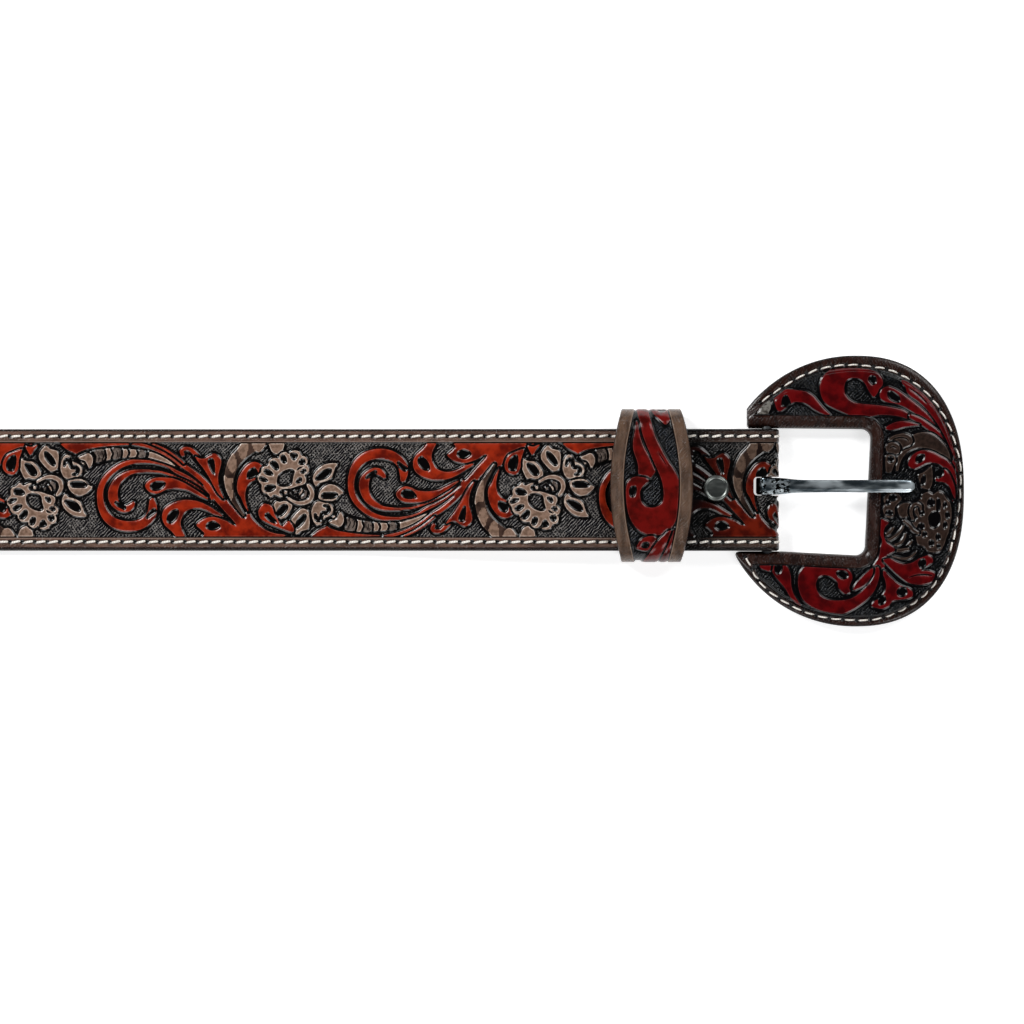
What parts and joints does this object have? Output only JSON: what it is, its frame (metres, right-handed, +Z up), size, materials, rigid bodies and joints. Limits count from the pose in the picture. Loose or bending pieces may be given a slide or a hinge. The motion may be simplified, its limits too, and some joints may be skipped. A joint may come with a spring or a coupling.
{
  "type": "western tooled belt",
  "caption": "Tooled leather belt end lying flat, with white-stitched border, leather keeper, metal stud and an oversized round leather-covered buckle with a hinged metal prong.",
  "frame": {"origin": "under the middle of the belt's bounding box, on the surface that it lies on", "axes": "+X along the strap towards the buckle, +Y across the strap, +Z up out of the tooled face"},
  "size_m": [0.3273, 0.0848, 0.0145],
  "materials": {
    "strap_leather": "tooled, painted deep red, tan and black, satin lacquer",
    "keeper_leather": "tooled, painted red with grey-brown edges, satin lacquer",
    "buckle_leather": "tooled, painted crimson and dark brown, glossy lacquer",
    "aged_nickel": "antiqued nickel plate, worn bright on the edges",
    "stud_nickel": "satin nickel plate",
    "bar_steel": "plain steel rod"
  },
  "bodies": {
    "belt": {"strap": "strap_leather", "keeper": "keeper_leather", "stud": "stud_nickel"},
    "buckle": {"buckle_frame": "buckle_leather", "buckle_bar": "bar_steel"},
    "prong": {"prong": "aged_nickel"}
  },
  "joints": [
    {"name": "frame_swing", "type": "hinge", "parent": "belt", "child": "buckle", "pos_m": [0.10175, 0.00036, 0.0046], "axis": [0, -1, 0], "range_deg": [-20, 30]},
    {"name": "prong_swing", "type": "hinge", "parent": "buckle", "child": "prong", "pos_m": [0.10175, 0.0015, 0.0046], "axis": [0, -1, 0], "range_deg": [0, 65]}
  ]
}
